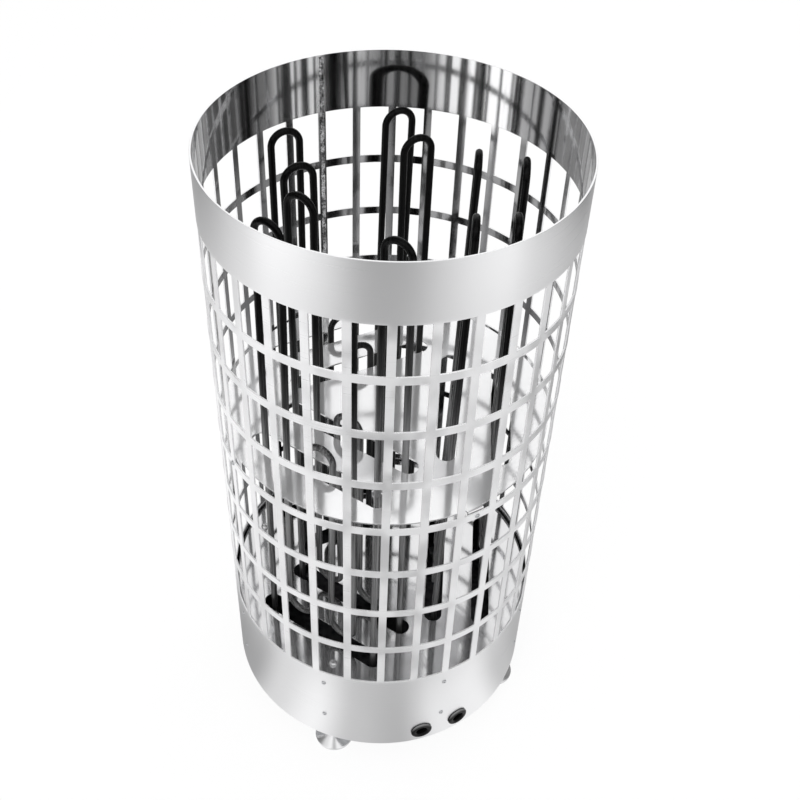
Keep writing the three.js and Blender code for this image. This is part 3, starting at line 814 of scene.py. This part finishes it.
def elements():
    """Six elements, each in its row and group."""
    end_verts, end_faces = element_ends()
    for group, turn in GROUPS.items():
        for row, r in ROW_R.items():
            place = outward(turn, r, 0)
            verts, faces = element_mesh(element_rings(*STANCE[group][row]))
            tube = add_mesh(f"tube_{group}_{row}", verts, faces, [TUBES[group]], place, sharp=60)
            ride(tube, "heater", "black_tube", f"element_{group}_{row}")
            ends = add_mesh(f"tube_ends_{group}_{row}", end_verts, end_faces, [ZINC], place)
            ride(ends, "heater", "zinc_steel")


# Feet, bolts and grommets


def foot_mesh():
    """Turned disc with a shallow cone and a hub, and the height of the hub's top under the lock nut."""
    hub = COVER_TOP - PLATE_T - GAP - NUT_H - GAP
    edge = FOOT_R - FOOT_LOW_EDGE
    profile = [(0, 0), (edge, 0)] + arc(edge, FOOT_LOW_EDGE, FOOT_LOW_EDGE, -90, 0, 5)
    profile += arc(FOOT_R - FOOT_TOP_EDGE, FOOT_BRIM, FOOT_TOP_EDGE, 0, 72, 5)
    profile += HUB_FILLET
    profile += [(HUB_R, hub - HUB_CHAMFER), (HUB_R - HUB_CHAMFER, hub), (STUD_R * THREAD_ROOT, hub)]
    return lathe(profile, 96), hub


def thread(low, high, around=24, per_pitch=6):
    """Helical thread between two heights, as a closed rod."""
    rows = int((high - low) / THREAD_PITCH * per_pitch)
    verts, faces = [], []
    for j in range(rows + 1):
        z = low + (high - low) * j / rows
        for k in range(around):
            phase = (z / THREAD_PITCH - k / around) % 1.0
            r = STUD_R * (THREAD_ROOT + (1 - THREAD_ROOT) * (1 - abs(2 * phase - 1)))
            a = 2 * math.pi * k / around
            verts.append(Vector((r * math.cos(a), r * math.sin(a), z)))
    for j in range(rows):
        for k in range(around):
            n = (k + 1) % around
            faces.append([j * around + k, j * around + n, (j + 1) * around + n, (j + 1) * around + k])
    faces.append(list(range(around))[::-1])
    faces.append(list(range(rows * around, (rows + 1) * around)))
    return verts, faces


def bolt_profile():
    """Domed bolt head seated on the base plate, with its shank below."""
    seat = BASE_TOP + GAP
    low, edge, floor = seat - BOLT_L, seat + BOLT_EDGE, seat + BOLT_SOCKET_FLOOR
    dome = BOLT_HEAD_H - BOLT_EDGE
    profile = [(0, low), (BOLT_R, low), (BOLT_R, seat), (BOLT_HEAD_R, seat)]
    profile += [(BOLT_HEAD_R * x, edge + dome * y) for x, y in arc(0, 0, 1, 0, 80, 8)]
    profile += [(BOLT_SOCKET_R, seat + BOLT_HEAD_H), (BOLT_SOCKET_R, floor), (0, floor)]
    return profile


def feet():
    """Feet on their own bodies, and the bolt above each of them."""
    (disc_verts, disc_faces), hub = foot_mesh()
    overlap = 0.001
    stud_verts, stud_faces = thread(hub - overlap, STUD_TOP)
    bolt_verts, bolt_faces = lathe(bolt_profile(), 48)
    for corner, turn in FEET.items():
        place = Matrix.Translation(polar(turn, FOOT_CIRCLE_R))
        disc = add_mesh(f"foot_disc_{corner}", disc_verts, disc_faces, [TURNED], place, sharp=25)
        ride(disc, f"{corner}_foot", "polished_steel", f"foot_{corner}")
        stud = add_mesh(f"foot_stud_{corner}", stud_verts, stud_faces, [ZINC], place, sharp=30)
        ride(stud, f"{corner}_foot", "polished_steel")
        bolt = add_mesh(f"bolt_{corner}", bolt_verts, bolt_faces, [TURNED], place)
        ride(bolt, "heater", "polished_steel", f"base_bolt_{corner}")


def grommets():
    """Moulded rings with rounded rims either side of the sheet."""
    rim, bore, neck, edge = GROMMET_R, GROMMET_BORE_R, GROMMET_HOLE_R - GAP, GROMMET_EDGE
    back_rim, seat_rim = rim - 0.0025, rim - 0.0005
    crown, mouth = rim - GROMMET_CROWN, GROMMET_FRONT - GROMMET_LIP
    bulge = GROMMET_FRONT - edge
    profile = [(bore, GROMMET_BACK), (back_rim - edge, GROMMET_BACK)]
    profile += arc(back_rim - edge, GROMMET_BACK + edge, edge, -90, 0, 4)
    profile += [(back_rim, GROMMET_BEHIND), (neck, GROMMET_BEHIND), (neck, GAP), (seat_rim, GAP)]
    profile += [(crown + GROMMET_CROWN * x, edge + bulge * y) for x, y in arc(0, 0, 1, 0, 90, 10)]
    profile += [(crown + (crown - bore) * x, mouth + GROMMET_LIP * y) for x, y in arc(0, 0, 1, 99, 180, 9)]
    profile += [(bore, GROMMET_BACK)]
    verts, faces = lathe(profile, 72)
    lie_out = Matrix.Rotation(math.radians(-90), 4, "X")
    for side, turn in GROMMET_TURNS.items():
        place = outward(turn, CAGE_R, GROMMET_Z) @ lie_out
        ring = add_mesh(f"cable_grommet_{side}", verts, faces, [RUBBER], place)
        ride(ring, "heater", "black_rubber", f"grommet_{side}")


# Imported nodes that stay, each with its own material and eased edges
KEPT_LOOKS = {
    "element_carrier": SHADED_CARRIER,
    "strap_": BRASS,
    "lead_": SILICONE,
    "terminal_block": CERAMIC,
    "earth_stud": BRASS,
    "foot_nut_": ZINC,
    "foot_sleeve_": ZINC,
}


def kept_nodes():
    """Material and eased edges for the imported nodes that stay."""
    for name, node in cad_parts.items():
        for start, material in KEPT_LOOKS.items():
            if name.startswith(start):
                node.data.materials.clear()
                node.data.materials.append(material)
                ease = node.modifiers.new("eased_edges", "BEVEL")
                ease.width, ease.segments, ease.limit_method = EASE, 2, "ANGLE"


# Studio


# Tone of what the steel mirrors, by the share of a turn; 0.5 is on the photograph's side
# Set after readings of how bright the cage's bands and bars are in the photograph
FLOOR_CLOSE = [
    (0.0, 0.5), (0.12, 0.4), (0.25, 0.33), (0.306, 0.41), (0.36, 0.86), (0.417, 1.16), (0.47, 0.68),
    (0.528, 0.55), (0.583, 1.02), (0.64, 1.08), (0.694, 0.62), (0.75, 0.45), (0.88, 0.4), (1.0, 0.5),
]
FLOOR_RING = [
    (0.0, 0.7), (0.08, 1.15), (0.16, 1.2), (0.22, 1.15), (0.28, 0.95), (0.34, 0.95), (0.42, 0.8),
    (0.48, 0.62), (0.56, 0.62), (0.62, 0.8), (0.67, 0.95), (0.73, 0.8), (0.8, 0.55), (0.9, 0.45), (1.0, 0.7),
]
FLOOR_FAR = [
    (0.0, 0.6), (0.1, 0.75), (0.2, 0.9), (0.3, 0.9), (0.4, 0.7), (0.5, 0.55), (0.6, 0.7), (0.68, 0.75),
    (0.75, 0.5), (0.85, 0.35), (0.95, 0.4), (1.0, 0.6),
]
ROOM_LOW = [
    (0.0, 0.68), (0.05, 0.56), (0.11, 0.58), (0.17, 0.7), (0.23, 0.92), (0.29, 0.99), (0.34, 0.88),
    (0.4, 0.66), (0.46, 0.48), (0.53, 0.46), (0.59, 0.72), (0.65, 0.94), (0.71, 1.2), (0.78, 1.16),
    (0.84, 0.92), (0.9, 0.72), (0.95, 0.58), (1.0, 0.68),
]
ROOM_SIDE = [
    (0.0, 0.75), (0.06, 0.42), (0.12, 0.26), (0.18, 0.25), (0.22, 0.5), (0.26, 0.52), (0.3, 1.5),
    (0.35, 1.5), (0.4, 1.25), (0.46, 0.2), (0.53, 0.3), (0.58, 0.8), (0.63, 1.1), (0.69, 1.1),
    (0.73, 0.2), (0.78, 0.12), (0.84, 0.05), (0.88, 0.12), (0.92, 0.42), (0.96, 0.5), (1.0, 0.75),
]
ROOM_HIGH = [
    (0.0, 0.96), (0.07, 0.92), (0.13, 0.2), (0.24, 0.15), (0.32, 0.8), (0.42, 1.0), (0.5, 0.5),
    (0.58, 1.0), (0.68, 0.8), (0.76, 0.15), (0.87, 0.2), (0.93, 0.92), (1.0, 0.96),
]
# Where one tone gives way to the next: distance on the floor, height of the direction in the room
CLOSE_TO_RING, RING_TO_FAR, FAR_TO_ROOM = (0.29, 0.36), (0.68, 0.8), (1.0, 1.15)
LOW_TO_SIDE, SIDE_TO_HIGH = (-0.56, -0.53), (-0.25, 0.2)
ROOM_STRENGTH = 1.1
FLOOR_Z, FLOOR_HALF, FLOOR_WHITE_SHARE = -0.0005, 6.0, 0.9
LIGHT_AIM_Z = 0.45


def studio_world():
    """White all round for the camera; the steel mirrors a softer room with darker sides."""
    world = bpy.data.worlds.new("studio")
    bpy.context.scene.world = world
    world.use_nodes = True
    world.node_tree.nodes.clear()
    nodes = Nodes(world.node_tree)
    share, height = nodes.share(nodes.add("ShaderNodeTexCoord").outputs["Generated"])
    low, side, high = [nodes.tones(share, stops) for stops in (ROOM_LOW, ROOM_SIDE, ROOM_HIGH)]
    room = nodes.mix(nodes.remap(height, 0.0, 1.0, *LOW_TO_SIDE), low, side)
    room = nodes.mix(nodes.remap(height, 0.0, 1.0, *SIDE_TO_HIGH), room, high)
    path = nodes.add("ShaderNodeLightPath")
    mirrored = nodes.add("ShaderNodeBackground", {"Color": room, "Strength": ROOM_STRENGTH})
    plain = nodes.add("ShaderNodeBackground", {"Color": (1, 1, 1, 1), "Strength": 1.0})
    seen = nodes.add(
        "ShaderNodeMixShader",
        {0: path.outputs["Is Glossy Ray"], 1: plain.outputs[0], 2: mirrored.outputs[0]},
    )
    nodes.add("ShaderNodeOutputWorld", {"Surface": seen.outputs[0]})


def studio_floor():
    """Pale floor with a faint contact shade; the steel mirrors it shaded at the sides.

    The camera mostly sees through it, to the white world and to a foot that is screwed out below it.
    """
    corners = [(-1, -1), (1, -1), (1, 1), (-1, 1)]
    verts = [(FLOOR_HALF * x, FLOOR_HALF * y, FLOOR_Z) for x, y in corners]
    shader = Shader("floor_pale")
    shader.set(Base_Color=(0.92, 0.92, 0.92, 1), Roughness=0.9, Specular_IOR_Level=0.0)
    path = shader.add("ShaderNodeLightPath")
    clear = shader.add("ShaderNodeBsdfTransparent")
    glow = shader.add("ShaderNodeEmission", {"Color": (1, 1, 1, 1), "Strength": 1.0})
    white = shader.add(
        "ShaderNodeMixShader",
        {0: path.outputs["Is Camera Ray"], 1: glow.outputs[0], 2: clear.outputs[0]},
    )
    lit = shader.add(
        "ShaderNodeMixShader",
        {0: FLOOR_WHITE_SHARE, 1: shader.bsdf.outputs[0], 2: white.outputs[0]},
    )
    share, _ = shader.share(shader.object)
    reach = shader.length(shader.object)
    close, ring, far = [shader.tones(share, stops) for stops in (FLOOR_CLOSE, FLOOR_RING, FLOOR_FAR)]
    tone = shader.mix(shader.remap(reach, 0.0, 1.0, *CLOSE_TO_RING), close, ring)
    tone = shader.mix(shader.remap(reach, 0.0, 1.0, *RING_TO_FAR), tone, far)
    shaded = shader.add("ShaderNodeEmission", {"Color": tone, "Strength": 1.0})
    from_below = shader.add("ShaderNodeNewGeometry").outputs["Backfacing"]
    faded = shader.math("MAXIMUM", shader.remap(reach, 0.0, 1.0, *FAR_TO_ROOM), from_below)
    mirrored = shader.add("ShaderNodeMixShader", {0: faded, 1: shaded.outputs[0], 2: clear.outputs[0]})
    seen = shader.add(
        "ShaderNodeMixShader",
        {0: path.outputs["Is Glossy Ray"], 1: lit.outputs[0], 2: mirrored.outputs[0]},
    )
    shader.feed(shader.tree.nodes["Material Output"].inputs["Surface"], seen.outputs[0])
    floor = add_mesh("studio_floor", verts, [[0, 1, 2, 3]], [shader.material])


def soft_light(name, at, size, power):
    """Round lamp aimed at the heater's middle, which the steel doesn't mirror."""
    light = bpy.data.lights.new(name, "AREA")
    light.shape, light.size, light.energy = "DISK", size, power
    lamp = bpy.data.objects.new(name, light)
    bpy.context.scene.collection.objects.link(lamp)
    lamp.location = at
    lamp.visible_glossy = False
    aim = Vector((0, 0, LIGHT_AIM_Z)) - Vector(at)
    lamp.rotation_euler = aim.to_track_quat("-Z", "Y").to_euler()


def camera():
    """Camera at the photograph's place, with its slight roll."""
    data = bpy.data.cameras.new("camera")
    data.sensor_width, data.lens = SENSOR_MM, FOCAL_PX / IMAGE_SIZE * SENSOR_MM
    data.clip_start, data.clip_end = 0.01, 100
    turn = math.radians(CAMERA_YAW - CAMERA_TURN)
    pitch, roll = math.radians(CAMERA_PITCH), math.radians(CAMERA_ROLL)
    flat, drop = math.cos(pitch), math.sin(pitch)
    ahead = Vector((math.sin(turn) * flat, math.cos(turn) * flat, -drop))
    level = Vector((math.cos(turn), -math.sin(turn), 0))
    up = level.cross(ahead)
    right = math.cos(roll) * level + math.sin(roll) * up
    upright = -math.sin(roll) * level + math.cos(roll) * up
    obj = bpy.data.objects.new("camera", data)
    bpy.context.scene.collection.objects.link(obj)
    axes = Matrix((right, upright, -ahead)).transposed().to_4x4()
    obj.matrix_world = Matrix.Translation(polar(CAMERA_TURN, CAMERA_REACH, CAMERA_Z)) @ axes
    bpy.context.scene.camera = obj


camera()
cage_sheet()
weld_bead()
cage_screws()
plates()
elements()
feet()
grommets()
kept_nodes()
studio_world()
studio_floor()
soft_light("key_light", at=(-1.6, -1.4, 2.4), size=1.2, power=25)
soft_light("rim_light", at=(1.8, 1.2, 2.0), size=1.0, power=8)
bpy.context.scene.view_settings.view_transform = "Standard"
